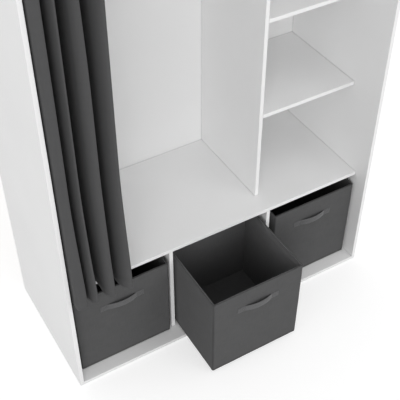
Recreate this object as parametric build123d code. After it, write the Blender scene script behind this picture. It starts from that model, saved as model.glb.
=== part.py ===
from build123d import *
import os

os.makedirs("parts", exist_ok=True)

# Overall size. X runs across the front, Y from front to back, Z up.
# The origin is the middle of the underside of the bottom panel.
width = 1040.0
depth = 450.0
height = 1925.0
board = 12.0
edge_round = 0.8
overrun = 2.0
fit_gap = 0.1

# Carcass: clear heights of the bays and how far the inner boards are set back.
lower_bay_clear = 340.5
middle_setback = 50.0
column_setback = 118.5
first_shelf_clear = 297.5
shelf_count = 4
shelf_end_gap = 0.5
lower_bay_count = 3

# Back: two thin sheets in a groove that runs round the carcass.
sheet = 3.0
sheet_inset = 3.0
groove_depth = 4.0
sheet_gap = 0.15
sheet_joint_gap = 0.5

# Fasteners and the holes for them are small and hidden, so they have few flats round them.
fastener_sides = 12

# Cams and cam bolts that draw the fixed panels to the sides.
cam_radius = 6.0
cam_height = 9.5
cam_reach = 24.0
cam_pocket = 6.8
bolt_thread_radius = 2.5
bolt_thread_length = 8.0
bolt_collar_radius = 3.0
bolt_collar_length = 2.0
bolt_shank_radius = 1.7
bolt_head_radius = 2.8
bolt_head_length = 3.0
cam_depth_shares = (0.14, 0.86)

# Wooden dowels.
dowel_radius = 3.0
dowel_length = 28.0
dowel_in_face = 8.0
panel_dowel_shares = (0.5,)
lower_dowel_shares = (0.2, 0.8)
upper_dowel_shares = (0.25, 0.6)

# Pins that the shelves lie on.
pin_radius = 2.5
pin_in_board = 8.0
pin_step_radius = 3.0
pin_step_length = 7.0
pin_depth_shares = (0.12, 0.88)

# Small screws of the clothes rail's sockets and the curtain track.
screw_radius = 1.6
screw_length = 9.0
screw_head_radius = 3.0
screw_head_length = 1.5

# Clothes rail: an oval tube that drops into two open-topped sockets.
rail_tall = 30.0
rail_wide = 15.0
rail_wall = 1.2
rail_drop = 62.0
socket_plate = 3.0
socket_plate_margin = 3.2
socket_plate_end = 5.0
socket_wall = 2.0
socket_reach = 14.0
socket_gap = 0.3
socket_screw_gap = 2.7

# Curtain track: an aluminium channel with a slot along its underside.
track_wide = 18.0
track_tall = 12.0
track_wall = 1.3
track_slot = 6.0
track_end_gap = 1.0
stop_length = 5.0
stop_gap = 0.2
track_screw_shares = (0.03, 0.34, 0.66, 0.97)

# Gliders: a head in the channel, a neck through the slot and a tongue beside the cloth.
glider_head_length = 6.0
glider_head_tall = 4.0
glider_head_chamfer = 1.2
glider_side_gap = 1.0
glider_neck = 3.0
glider_neck_gap = 1.0
glider_run_gap = 0.2
tongue = 1.6
tongue_wide = 9.0
tongue_tall = 17.0
tongue_chamfer = 2.5
tongue_eye = 3.0
tongue_seat_gap = 0.3

# Curtain: gathered at the left in four deep folds, which swing forward at the hem.
cloth = 2.0
gathered_width = 163.0
gathered_side_gap = 11.0
fold_overhang = 6.0
fold_back_gap = 10.5
fold_radius_share = 0.437
hem_flare = 22.0
hem_gap = 3.0
header_drop = 4.0
free_edge_depth = 78.0
flare_low_rise = 110.0
flare_high_rise = 420.0
flare_low_share = 0.9
pleat_gap = 0.4
pleat_side_shares = (0, 0.161, 0.2485, 0.3325, 0.5276, 0.673, 0.853, 1)

# Baskets: a fabric cover with stiff cards in its walls and floor, and a strap handle.
basket_side_gap = 12.1
basket_depth = 305.5
basket_head_gap = 32.2
basket_lift = 0.3
basket_setback = 42.2
centre_pull = 206.6
basket_shifts = {"left": 2.3, "centre": -2.3, "right": 3.3}
cover = 1.2
cover_round = 5.0
cover_lip = 30.0
card = 2.4
card_gap = 0.15
strap = 1.8
strap_wide = 20.5
strap_span = 94.0
strap_sewn_end = 24.0
strap_bulge = 11.5
strap_drop = 61.0
strap_shifts = {"left": -2.0, "centre": -1.0, "right": -5.5}
strap_gap = 0.1

# Places that follow from the sizes above.
left = -width / 2
right = width / 2
front = -depth / 2
back = depth / 2
inner_left = left + board
inner_right = right - board
groove_front = back - sheet_inset - sheet - 2 * sheet_gap
middle_under = board + lower_bay_clear
middle_top = middle_under + board
top_under = height - board
middle_front = front + middle_setback
column_front = front + column_setback
bay_clear = (inner_right - inner_left - (lower_bay_count - 1) * board) / lower_bay_count
lower_partitions = [inner_left + (i + 1) * bay_clear + i * board for i in range(lower_bay_count - 1)]
upper_partition_left = lower_partitions[-1]
column_left = upper_partition_left + board
shelf_clear = (top_under - middle_top - first_shelf_clear - shelf_count * board) / shelf_count
shelf_unders = [
    middle_top + first_shelf_clear + i * (board + shelf_clear) for i in range(shelf_count)
]


def slab(x0, x1, y0, y1, z0, z1):
    return Pos((x0 + x1) / 2, (y0 + y1) / 2, (z0 + z1) / 2) * Box(x1 - x0, y1 - y0, z1 - z0)


def rod(start, direction, length, radius):
    section = RegularPolygon(radius, fastener_sides)
    return extrude(Plane(origin=start, z_dir=direction) * section, amount=length)


def turned(steps):
    # a piece along Z from steps of length and radius, laid end to end
    reached = 0
    piece = None
    for length, radius in steps:
        step = rod((0, 0, reached), (0, 0, 1), length, radius)
        piece = step if piece is None else piece + step
        reached += length
    return piece


def ease_front(panel, along):
    return fillet(panel.edges().filter_by(along).group_by(Axis.Y)[0], edge_round)


def save(shape, node):
    export_step(shape, f"parts/{node}.step")


def save_group(solids, node):
    save(Compound(children=list(solids)), node)


# Boards of the carcass, before they are drilled.
def carcass_boards():
    groove_back = back - sheet_inset
    low, high = board - groove_depth, top_under + groove_depth

    def side(x0, x1, inner, outward):
        panel = ease_front(slab(x0, x1, front, back, 0, height), Axis.Z)
        reach = inner + outward * groove_depth
        groove = slab(min(inner, reach), max(inner, reach), groove_front, groove_back, low, high)
        return panel - groove

    def across(z0, y0, y1):
        return ease_front(slab(inner_left, inner_right, y0, y1, z0, z0 + board), Axis.X)

    def upright(x0, y0, z0, z1):
        return ease_front(slab(x0, x0 + board, y0, groove_front, z0, z1), Axis.Z)

    bottom_groove = slab(inner_left, inner_right, groove_front, groove_back, low, board)
    top_groove = slab(inner_left, inner_right, groove_front, groove_back, top_under, high)
    boards = {
        "side_panel_left": side(left, inner_left, inner_left, -1),
        "side_panel_right": side(inner_right, right, inner_right, 1),
        "bottom_panel": across(0, front, back) - bottom_groove,
        "middle_panel": across(middle_under, middle_front, groove_front),
        "top_panel": across(top_under, front, back) - top_groove,
        "lower_partition_left": upright(lower_partitions[0], middle_front, board, middle_under),
        "lower_partition_right": upright(lower_partitions[1], middle_front, board, middle_under),
        "upper_partition": upright(upper_partition_left, column_front, middle_top, top_under),
    }
    for i, under in enumerate(shelf_unders):
        shelf = slab(
            column_left + shelf_end_gap,
            inner_right - shelf_end_gap,
            column_front,
            groove_front,
            under,
            under + board,
        )
        boards[f"shelf_{i + 1}"] = ease_front(shelf, Axis.X)
    return boards


def back_sheets():
    y0 = groove_front + sheet_gap
    y1 = y0 + sheet
    z0 = board - groove_depth + fit_gap
    z1 = top_under + groove_depth - fit_gap
    joint = upper_partition_left + board / 2
    x0 = inner_left - groove_depth + fit_gap
    x1 = inner_right + groove_depth - fit_gap
    save(slab(x0, joint - sheet_joint_gap / 2, y0, y1, z0, z1), "back_sheet_left")
    save(slab(joint + sheet_joint_gap / 2, x1, y0, y1, z0, z1), "back_sheet_right")


# A cam bolt is screwed into a side panel, and its head is caught by a cam in the fixed panel's end.
def cam_joints(boards):
    bolts, cams = [], []
    shank = cam_reach - bolt_collar_length - bolt_head_length / 2
    bolt = turned(
        [
            (bolt_thread_length, bolt_thread_radius),
            (bolt_collar_length, bolt_collar_radius),
            (shank, bolt_shank_radius),
            (bolt_head_length, bolt_head_radius),
        ]
    )
    fixed = {
        "bottom_panel": (0, front, 1),
        "middle_panel": (middle_under, middle_front, 1),
        "top_panel": (height, front, -1),
    }
    ends = {"side_panel_left": (inner_left, 1), "side_panel_right": (inner_right, -1)}
    for panel, (face, panel_front, up) in fixed.items():
        z = face + up * board / 2
        panel_depth = groove_front - panel_front
        for side, (x, inward) in ends.items():
            for share in cam_depth_shares:
                y = panel_front + share * panel_depth
                start = (x - inward * bolt_thread_length, y, z)
                bolts.append(Plane(origin=start, z_dir=(inward, 0, 0)) * bolt)
                deep = bolt_thread_length + fit_gap
                thread_hole = rod((x, y, z), (-inward, 0, 0), deep, bolt_thread_radius + fit_gap)
                boards[side] -= thread_hole
                cam_x = x + inward * cam_reach
                bore = rod((x, y, z), (inward, 0, 0), cam_reach, bolt_collar_radius + fit_gap)
                seat = rod((cam_x, y, face), (0, 0, up), cam_height + fit_gap, cam_radius + fit_gap)
                boards[panel] = boards[panel] - bore - seat
                cam = rod((cam_x, y, face), (0, 0, up), cam_height, cam_radius)
                pocket_end = cam_x + inward * cam_pocket / 2
                pocket = slab(
                    min(x, pocket_end),
                    max(x, pocket_end),
                    y - cam_pocket / 2,
                    y + cam_pocket / 2,
                    z - cam_pocket / 2,
                    z + cam_pocket / 2,
                )
                cams.append(cam - pocket)
    save_group(bolts, "cam_bolts")
    save_group(cams, "cam_discs")


# Dowels locate every fixed panel and partition, part in a face and part in an end.
def dowel_joints(boards):
    dowels = []

    def dowel(face_board, end_board, point, into_end):
        into_face = tuple(-c for c in into_end)
        hole_radius = dowel_radius + fit_gap
        in_end = dowel_length - dowel_in_face
        boards[face_board] -= rod(point, into_face, dowel_in_face + fit_gap, hole_radius)
        boards[end_board] -= rod(point, into_end, in_end + fit_gap, hole_radius)
        start = Vector(*point) + Vector(*into_face) * dowel_in_face
        dowels.append(rod(start, into_end, dowel_length, dowel_radius))

    panels = {
        "bottom_panel": (board / 2, front),
        "middle_panel": (middle_under + board / 2, middle_front),
        "top_panel": (top_under + board / 2, front),
    }
    for panel, (z, panel_front) in panels.items():
        for share in panel_dowel_shares:
            y = panel_front + share * (groove_front - panel_front)
            dowel("side_panel_left", panel, (inner_left, y, z), (1, 0, 0))
            dowel("side_panel_right", panel, (inner_right, y, z), (-1, 0, 0))
    for name, x in zip(("lower_partition_left", "lower_partition_right"), lower_partitions):
        for share in lower_dowel_shares:
            y = middle_front + share * (groove_front - middle_front)
            dowel("bottom_panel", name, (x + board / 2, y, board), (0, 0, 1))
            dowel("middle_panel", name, (x + board / 2, y, middle_under), (0, 0, -1))
    for share in upper_dowel_shares:
        x = upper_partition_left + board / 2
        y = column_front + share * (groove_front - column_front)
        dowel("middle_panel", "upper_partition", (x, y, middle_top), (0, 0, 1))
        dowel("top_panel", "upper_partition", (x, y, top_under), (0, 0, -1))
    save_group(dowels, "dowels")


def shelf_pins(boards):
    pin = turned([(pin_in_board, pin_radius), (pin_step_length, pin_step_radius)])
    ends = {"upper_partition": (column_left, 1), "side_panel_right": (inner_right, -1)}
    pins = []
    for under in shelf_unders:
        z = under - pin_step_radius - fit_gap
        for share in pin_depth_shares:
            y = column_front + share * (groove_front - column_front)
            for name, (x, inward) in ends.items():
                start = (x - inward * pin_in_board, y, z)
                pins.append(Plane(origin=start, z_dir=(inward, 0, 0)) * pin)
                deep = pin_in_board + fit_gap
                boards[name] -= rod((x, y, z), (-inward, 0, 0), deep, pin_radius + fit_gap)
    save_group(pins, "shelf_pins")


def screw_at(seat, outward):
    screw = turned([(screw_length, screw_radius), (screw_head_length, screw_head_radius)])
    start = Vector(*seat) - Vector(*outward) * screw_length
    return Plane(origin=start, z_dir=outward) * screw


# The clothes rail and its sockets, in the left bay above the middle panel.
def clothes_rail(boards):
    y = (column_front + groove_front) / 2
    z = top_under - rail_drop
    ends = {
        "left": (inner_left, 1, "side_panel_left"),
        "right": (upper_partition_left, -1, "upper_partition"),
    }
    screws = []
    for end, (x, inward, carrier) in ends.items():
        facing = Plane(origin=(x, y, z), x_dir=(0, 1, 0), z_dir=(inward, 0, 0))
        bore_tall = rail_tall + 2 * socket_gap
        bore_wide = rail_wide + 2 * socket_gap
        collar_tall = bore_tall + 2 * socket_wall
        collar_wide = bore_wide + 2 * socket_wall
        screw_spacing = collar_tall + 2 * (screw_head_radius + socket_screw_gap)
        plate_tall = screw_spacing + 2 * socket_plate_end
        plate_wide = collar_wide + 2 * socket_plate_margin
        plate_outline = SlotOverall(plate_tall, plate_wide, rotation=90)
        plate = extrude(facing * plate_outline, amount=socket_plate)
        collar_outline = SlotOverall(collar_tall, collar_wide, rotation=90)
        collar_outline -= SlotOverall(bore_tall, bore_wide, rotation=90)
        collar = extrude(facing * collar_outline, amount=socket_plate + socket_reach)
        plate_face = x + inward * socket_plate
        past_collar = plate_face + inward * (socket_reach + overrun)
        mouth = slab(
            min(plate_face, past_collar),
            max(plate_face, past_collar),
            y - bore_wide / 2,
            y + bore_wide / 2,
            z,
            z + plate_tall,
        )
        socket = plate + (collar - mouth)
        for up in (-1, 1):
            at = (x, y, z + up * screw_spacing / 2)
            screws.append(screw_at((plate_face, at[1], at[2]), (inward, 0, 0)))
            socket -= rod(at, (inward, 0, 0), socket_plate + overrun, screw_radius + fit_gap)
            in_board = screw_length - socket_plate + fit_gap
            boards[carrier] -= rod(at, (-inward, 0, 0), in_board, screw_radius + fit_gap)
        save(socket, f"rail_socket_{end}")
    start_x = inner_left + socket_plate + socket_gap
    end_x = upper_partition_left - socket_plate - socket_gap
    along = Plane(origin=(start_x, y, z), x_dir=(0, 1, 0), z_dir=(1, 0, 0))
    bore = SlotOverall(rail_tall - 2 * rail_wall, rail_wide - 2 * rail_wall, rotation=90)
    tube = SlotOverall(rail_tall, rail_wide, rotation=90) - bore
    save(extrude(along * tube, amount=end_x - start_x), "clothes_rail")
    return screws


fold_depth = column_setback + fold_overhang - fold_back_gap
track_y = front - fold_overhang + fold_depth / 2
track_under = top_under - track_tall
track_left = inner_left + track_end_gap
track_right = inner_right - track_end_gap
cavity_wide = track_wide - 2 * track_wall
cavity_low = track_under + track_wall
cavity_high = top_under - track_wall


# The track's profile is cut from a bar, with the cavity and the slot that the gliders run in.
def curtain_track(boards):
    y0, y1 = track_y - track_wide / 2, track_y + track_wide / 2
    bar = slab(track_left, track_right, y0, y1, track_under, top_under)
    inside = slab(
        track_left - overrun,
        track_right + overrun,
        track_y - cavity_wide / 2,
        track_y + cavity_wide / 2,
        cavity_low,
        cavity_high,
    )
    slot = slab(
        track_left - overrun,
        track_right + overrun,
        track_y - track_slot / 2,
        track_y + track_slot / 2,
        track_under - overrun,
        cavity_low + overrun,
    )
    track = bar - inside - slot
    screws = []
    for share in track_screw_shares:
        x = track_left + share * (track_right - track_left)
        seat = (x, track_y, cavity_high)
        screws.append(screw_at(seat, (0, 0, -1)))
        track -= rod(seat, (0, 0, 1), track_wall + overrun, screw_radius + fit_gap)
        in_board = screw_length - track_wall + fit_gap
        screw_hole = rod((x, track_y, top_under), (0, 0, 1), in_board, screw_radius + fit_gap)
        boards["top_panel"] -= screw_hole
    save(track, "curtain_track")
    for end, x0 in (("left", track_left), ("right", track_right - stop_length)):
        plug = slab(
            x0,
            x0 + stop_length,
            track_y - cavity_wide / 2 + stop_gap,
            track_y + cavity_wide / 2 - stop_gap,
            cavity_low + stop_gap,
            cavity_high - stop_gap,
        )
        nib = slab(
            x0,
            x0 + stop_length,
            track_y - track_slot / 2 + stop_gap,
            track_y + track_slot / 2 - stop_gap,
            track_under,
            cavity_low + overrun,
        )
        save(plug + nib, f"track_stop_{end}")
    return screws


def quarter(centre, radius, start, end):
    # a quarter turn about centre, from the unit direction start to the unit direction end
    cx, cy = centre
    middle = Vector(start[0] + end[0], start[1] + end[1]).normalized()
    points = [Vector(*start), middle, Vector(*end)]
    return ThreePointArc(*[(cx + radius * p.X, cy + radius * p.Y) for p in points])


# One side of a fold seen from above: half of the crest at the front, the straight side,
# and half of the trough at the back. The first and last sides end in a free edge.
def pleat_face(side_x, toward, crest_end, crest_y, trough_end, trough_y, z):
    half = cloth / 2
    big, small = fold_radius + half, fold_radius - half
    crest_centre = (side_x + toward * fold_radius, crest_y + fold_radius)
    trough_centre = (side_x - toward * fold_radius, trough_y - fold_radius)
    out_x, in_x = side_x - toward * half, side_x + toward * half
    lead, trail = (-toward, 0), (toward, 0)
    edges = [
        Line((crest_end, crest_y - half), (crest_centre[0], crest_y - half)),
        quarter(crest_centre, big, (0, -1), lead),
    ]
    if trough_end is None:
        edges += [
            Line((out_x, crest_centre[1]), (out_x, trough_y)),
            Line((out_x, trough_y), (in_x, trough_y)),
            Line((in_x, trough_y), (in_x, crest_centre[1])),
        ]
    else:
        edges += [
            Line((out_x, crest_centre[1]), (out_x, trough_centre[1])),
            quarter(trough_centre, small, trail, (0, 1)),
            Line((trough_centre[0], trough_y - half), (trough_end, trough_y - half)),
            Line((trough_end, trough_y - half), (trough_end, trough_y + half)),
            Line((trough_end, trough_y + half), (trough_centre[0], trough_y + half)),
            quarter(trough_centre, big, (0, 1), trail),
            Line((in_x, trough_centre[1]), (in_x, crest_centre[1])),
        ]
    edges += [
        quarter(crest_centre, small, lead, (0, -1)),
        Line((crest_centre[0], crest_y + half), (crest_end, crest_y + half)),
        Line((crest_end, crest_y + half), (crest_end, crest_y - half)),
    ]
    return Pos(0, 0, z) * make_face(edges)


gathered_left = inner_left + gathered_side_gap
pleat_sides = [gathered_left + share * gathered_width for share in pleat_side_shares]
narrowest_fold = min(b - a for a, b in zip(pleat_sides, pleat_sides[1:]))
fold_radius = fold_radius_share * narrowest_fold
curtain_hem = middle_top + hem_gap
curtain_top = track_under - header_drop


def curtain():
    crest = front - fold_overhang
    trough = crest + fold_depth
    sections = [
        (curtain_hem, crest - hem_flare),
        (curtain_hem + flare_low_rise, crest - flare_low_share * hem_flare),
        (curtain_hem + flare_high_rise, crest),
        (curtain_top, crest),
    ]
    last = len(pleat_sides) - 1
    for i, side_x in enumerate(pleat_sides):
        toward = 1 if i % 2 == 0 else -1
        crest_end = (side_x + pleat_sides[i + toward]) / 2 - toward * pleat_gap / 2
        trough_end, trough_y = None, front + free_edge_depth
        if 0 < i < last:
            trough_end = (side_x + pleat_sides[i - toward]) / 2 + toward * pleat_gap / 2
            trough_y = trough
        faces = [
            pleat_face(side_x, toward, crest_end, crest_y, trough_end, trough_y, z)
            for z, crest_y in sections
        ]
        save(loft(faces, ruled=True), f"curtain_pleat_{i + 1}")


def gliders():
    head_low = cavity_low + glider_run_gap
    tongue_top = track_under - glider_run_gap
    head_wide = cavity_wide - 2 * glider_side_gap
    neck_wide = track_slot - 2 * glider_neck_gap
    neck_low = tongue_top - header_drop / 2

    def centred(x, size_x, size_y, low, high):
        x0, y0 = x - size_x / 2, track_y - size_y / 2
        return slab(x0, x0 + size_x, y0, y0 + size_y, low, high)

    for i, side_x in enumerate(pleat_sides):
        toward = 1 if i % 2 == 0 else -1
        x = side_x + toward * (cloth / 2 + tongue_seat_gap + tongue / 2)
        head = centred(x, glider_head_length, head_wide, head_low, head_low + glider_head_tall)
        head = chamfer(head.edges().filter_by(Axis.Z), glider_head_chamfer)
        neck = centred(x, glider_neck, neck_wide, neck_low, head_low + glider_head_tall / 2)
        tab = centred(x, tongue, tongue_wide, tongue_top - tongue_tall, tongue_top)
        tab = chamfer(tab.edges().filter_by(Axis.X), tongue_chamfer)
        eye_low = tongue_top - tongue_tall + tongue_eye
        eye = centred(x, 2 * tongue, tongue_eye, eye_low, eye_low + tongue_eye)
        save(head + neck + tab - eye, f"curtain_glider_{i + 1}")


# A basket: the cover turns in over the cards at the rim, and the cards stand between its two skins.
def basket(side, centre_x, front_y):
    basket_width = bay_clear - 2 * basket_side_gap
    z0 = board + basket_lift
    z1 = middle_under - basket_head_gap
    centre_y = front_y + basket_depth / 2

    def block(inset, low, high):
        half_x = basket_width / 2 - inset
        half_y = basket_depth / 2 - inset
        return Pos(centre_x, centre_y, 0) * slab(-half_x, half_x, -half_y, half_y, low, high)

    card_space = card + 2 * card_gap
    lip_outside = cover + card_space
    mouth_inset = lip_outside + cover
    body = block(0, z0, z1)
    body = fillet(body.edges().filter_by(Axis.Z), cover_round)
    body -= block(cover, z0 + cover, z1 - cover)
    body -= block(mouth_inset, z1 - cover - overrun, z1 + overrun)
    lip = block(lip_outside, z1 - cover_lip, z1 - cover / 2)
    lip -= block(mouth_inset, z1 - cover_lip - overrun, z1 + overrun)
    save(body + lip, f"basket_cover_{side}")

    inset = cover + card_gap
    low, high = z0 + inset, z1 - inset
    x0, x1 = centre_x - basket_width / 2 + inset, centre_x + basket_width / 2 - inset
    y0, y1 = front_y + inset, front_y + basket_depth - inset
    end_gap = card + card_gap
    cards = [
        slab(x0, x1, y0, y0 + card, low, high),
        slab(x0, x1, y1 - card, y1, low, high),
        slab(x0, x0 + card, y0 + end_gap, y1 - end_gap, low, high),
        slab(x1 - card, x1, y0 + end_gap, y1 - end_gap, low, high),
        slab(x0 + end_gap, x1 - end_gap, y0 + end_gap, y1 - end_gap, low, low + card),
    ]
    save_group(cards, f"basket_cards_{side}")

    # the strap seen from above: sewn flat at both ends, bowed out between them
    half_span = strap_span / 2
    half_all = half_span + strap_sewn_end
    band = [
        Line((-half_all, 0), (-half_span, 0)),
        ThreePointArc((-half_span, 0), (0, -strap_bulge), (half_span, 0)),
        Line((half_span, 0), (half_all, 0)),
        Line((half_all, 0), (half_all, -strap)),
        Line((half_all, -strap), (half_span, -strap)),
        ThreePointArc((half_span, -strap), (0, -strap_bulge - strap), (-half_span, -strap)),
        Line((-half_span, -strap), (-half_all, -strap)),
        Line((-half_all, -strap), (-half_all, 0)),
    ]
    strap_x = centre_x + strap_shifts[side]
    strap_place = Pos(strap_x, front_y - strap_gap, z1 - strap_drop - strap_wide)
    save(strap_place * extrude(make_face(band), amount=strap_wide), f"basket_handle_{side}")


def baskets():
    rest_front = front + basket_setback
    fronts = {"left": rest_front, "centre": rest_front - centre_pull, "right": rest_front}
    for i, (side, basket_front) in enumerate(fronts.items()):
        bay_centre = inner_left + bay_clear / 2 + i * (bay_clear + board)
        basket(side, bay_centre + basket_shifts[side], basket_front)


boards = carcass_boards()
cam_joints(boards)
dowel_joints(boards)
shelf_pins(boards)
save_group(clothes_rail(boards), "rail_screws")
save_group(curtain_track(boards), "track_screws")
for node, shape in boards.items():
    save(shape, node)
back_sheets()
gliders()
curtain()
baskets()
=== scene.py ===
import bmesh
import bpy
import math
from mathutils import Matrix, Vector, noise


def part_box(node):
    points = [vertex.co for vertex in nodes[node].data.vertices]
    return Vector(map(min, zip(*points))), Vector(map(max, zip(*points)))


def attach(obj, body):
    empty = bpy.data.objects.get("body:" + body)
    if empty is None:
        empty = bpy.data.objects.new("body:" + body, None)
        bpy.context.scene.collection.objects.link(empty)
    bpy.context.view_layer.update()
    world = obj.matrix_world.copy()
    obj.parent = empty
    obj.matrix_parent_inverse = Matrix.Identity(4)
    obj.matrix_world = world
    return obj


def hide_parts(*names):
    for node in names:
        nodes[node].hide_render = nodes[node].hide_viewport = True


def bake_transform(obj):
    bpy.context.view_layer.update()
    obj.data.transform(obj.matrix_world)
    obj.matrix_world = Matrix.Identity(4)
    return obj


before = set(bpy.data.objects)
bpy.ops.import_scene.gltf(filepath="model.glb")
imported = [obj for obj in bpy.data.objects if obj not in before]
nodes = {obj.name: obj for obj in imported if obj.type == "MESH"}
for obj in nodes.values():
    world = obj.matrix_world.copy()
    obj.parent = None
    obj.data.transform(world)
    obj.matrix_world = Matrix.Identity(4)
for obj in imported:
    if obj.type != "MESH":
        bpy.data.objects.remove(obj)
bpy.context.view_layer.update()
print("frame loaded:", len(nodes), "nodes")

baskets = ("left", "centre", "right")
boards = (
    "side_panel_left", "side_panel_right", "bottom_panel", "middle_panel", "top_panel",
    "lower_partition_left", "lower_partition_right", "upper_partition",
    "shelf_1", "shelf_2", "shelf_3", "shelf_4",
)
pleats = [f"curtain_pleat_{i}" for i in range(1, 9)]
gliders = [f"curtain_glider_{i}" for i in range(1, 9)]
tiny = 1e-6      # a length below this counts as none


# Small helpers for meshes

def smoothStep(value):
    value = min(max(value, 0.0), 1.0)
    return value * value * (3 - 2 * value)


def vectorBox(node):
    return [Vector(corner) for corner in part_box(node)]


def newHolder(name, data):
    holder = bpy.data.objects.new(name, data)
    bpy.context.scene.collection.objects.link(holder)
    return holder


def newObject(name, bm):
    mesh = bpy.data.meshes.new(name)
    bm.to_mesh(mesh)
    bm.free()
    return newHolder(name, mesh)


def smoothFaces(mesh, angle):
    for face in mesh.polygons:
        face.use_smooth = True
    mesh.set_sharp_from_angle(angle=math.radians(angle))


def newPiece(name, bm, material, body, smoothAngle):
    piece = newObject(name, bm)
    piece.data.materials.append(material)
    smoothFaces(piece.data, smoothAngle)
    if body:
        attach(piece, body)
    return piece


def bakeModifiers(piece):
    bpy.context.view_layer.update()
    shaped = piece.evaluated_get(bpy.context.evaluated_depsgraph_get())
    mesh = bpy.data.meshes.new_from_object(shaped)
    piece.modifiers.clear()
    piece.data = mesh


def addWall(piece, thickness, offset):
    wall = piece.modifiers.new("wall", "SOLIDIFY")
    wall.thickness, wall.offset = thickness, offset
    return wall


def faceOutward(bm):
    bmesh.ops.recalc_face_normals(bm, faces=bm.faces)


def roundEdges(bm, edges, offset, segments):
    bmesh.ops.bevel(
        bm, geom=edges, offset=offset, segments=segments, profile=0.5, affect="EDGES", material=-1
    )


def cutAcross(bm, axis, places):
    normal = Vector((axis == 0, axis == 1, axis == 2))
    for place in places:
        bmesh.ops.bisect_plane(
            bm, geom=bm.verts[:] + bm.edges[:] + bm.faces[:], plane_co=normal * place, plane_no=normal
        )


def unwrapInMetres(bm):
    layer = bm.loops.layers.uv.new("cloth")
    for face in bm.faces:
        across = max(range(3), key=lambda i: abs(face.normal[i]))
        u, v = [i for i in range(3) if i != across]
        for loop in face.loops:
            loop[layer].uv = (loop.vert.co[u], loop.vert.co[v])


def layFlat(bm, layer, spots):
    # every corner gets its place on the flat cloth
    for face in bm.faces:
        for loop in face.loops:
            loop[layer].uv = spots[loop.vert]


def solidBoxes(node):
    bm = bmesh.new()
    bm.from_mesh(nodes[node].data)
    bmesh.ops.remove_doubles(bm, verts=bm.verts, dist=tiny)
    left = set(bm.verts)
    solids = []
    while left:
        group, edge = set(), {left.pop()}
        while edge:
            vert = edge.pop()
            group.add(vert)
            edge |= {e.other_vert(vert) for e in vert.link_edges} - group
        left -= group
        low = Vector([min(v.co[i] for v in group) for i in range(3)])
        high = Vector([max(v.co[i] for v in group) for i in range(3)])
        solids.append((low, high))
    bm.free()
    return sorted(solids, key=lambda s: tuple(s[0]))


def addedSince(bm, old):
    return [v for v in bm.verts if v not in old]


def standing(place, direction):
    # takes the origin to the place and turns +z
    turn = Vector((0, 0, 1)).rotation_difference(Vector(direction)).to_matrix().to_4x4()
    return Matrix.Translation(place) @ turn


def turnPiece(bm, profile, place, direction, steps):
    # profile is a list of distance along the axis and radius
    old = set(bm.verts)
    chain = [bm.verts.new((radius, 0, along)) for along, radius in profile]
    edges = [bm.edges.new(pair) for pair in zip(chain, chain[1:])]
    bmesh.ops.spin(
        bm, geom=chain + edges, cent=(0, 0, 0), axis=(0, 0, 1), angle=2 * math.pi, steps=steps, use_merge=True
    )
    bmesh.ops.remove_doubles(bm, verts=addedSince(bm, old), dist=tiny)
    poles = [
        v for v in addedSince(bm, old)
        if v.co.xy.length < tiny and all(abs(e.other_vert(v).co.z - v.co.z) < tiny for e in v.link_edges)
    ]
    bmesh.ops.dissolve_verts(bm, verts=poles)      # a flat end is one face, not a fan
    bmesh.ops.transform(bm, matrix=standing(place, direction), verts=addedSince(bm, old))


# Node helpers

def put(tree, kind, settings=None, **inputs):
    node = tree.nodes.new(kind)
    for name, value in (settings or {}).items():
        setattr(node, name, value)
    for name, value in inputs.items():
        key = int(name[1:]) if name[0] == "i" and name[1:].isdigit() else name.replace("_", " ")
        if isinstance(value, bpy.types.NodeSocket):
            tree.links.new(value, node.inputs[key])
        else:
            node.inputs[key].default_value = value
    return node


def calc(tree, operation, a, b=0.0, c=0.0):
    return put(tree, "ShaderNodeMath", {"operation": operation}, i0=a, i1=b, i2=c).outputs[0]


def remap(tree, value, low, high, toLow, toHigh):
    return put(tree, "ShaderNodeMapRange", i0=value, i1=low, i2=high, i3=toLow, i4=toHigh).outputs[0]


def spread(tree, speckles, toLow, toHigh):
    # noise seldom leaves the range from 0.3 to 0.7
    return remap(tree, speckles, 0.3, 0.7, toLow, toHigh)


def speckle(tree, vector, scale, detail=2.0, roughness=0.5):
    return put(
        tree, "ShaderNodeTexNoise", Vector=vector, Scale=scale, Detail=detail, Roughness=roughness
    ).outputs[0]


def stretched(tree, vector, scale):
    return put(tree, "ShaderNodeMapping", Vector=vector, Scale=scale).outputs[0]


def streaks(tree, vector, scales, detail, roughness=0.5):
    # noise drawn out along the cloth, and across it
    along, across = scales
    return [
        speckle(tree, stretched(tree, vector, scale), 1.0, detail, roughness)
        for scale in ((along, across, 1.0), (across, along, 1.0))
    ]


def tint(tree, color, tone):
    return put(tree, "ShaderNodeVectorMath", {"operation": "SCALE"}, i0=color, Scale=tone).outputs[0]


def splitPlace(tree, vector):
    return put(tree, "ShaderNodeSeparateXYZ", Vector=vector).outputs


def seenDirectly(tree):
    rays = put(tree, "ShaderNodeLightPath").outputs
    mirrored = calc(tree, "MAXIMUM", rays["Is Glossy Ray"], rays["Is Transmission Ray"])
    return calc(tree, "MAXIMUM", rays["Is Camera Ray"], mirrored)


def newGroup(name, inputs, outputs):
    # an input without a default is a vector, and every other socket is a number
    group = bpy.data.node_groups.new(name, "ShaderNodeTree")
    for label, value in inputs.items():
        kind = "NodeSocketVector" if value is None else "NodeSocketFloat"
        socket = group.interface.new_socket(label, in_out="INPUT", socket_type=kind)
        if value is not None:
            socket.default_value = value
    for label in outputs:
        group.interface.new_socket(label, in_out="OUTPUT", socket_type="NodeSocketFloat")
    return group, group.nodes.new("NodeGroupInput").outputs, group.nodes.new("NodeGroupOutput").inputs


# Effects shared by the materials: scales are per metre, tones are factors on a colour

foilEffect = {
    "cloud": 2.4, "grain": 1600.0, "grainShare": 0.7, "pores": (900.0, 60.0, 900.0), "poreShare": 0.3,
    "shineCloud": 7.0, "shineSpread": 0.05,
}


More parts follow.
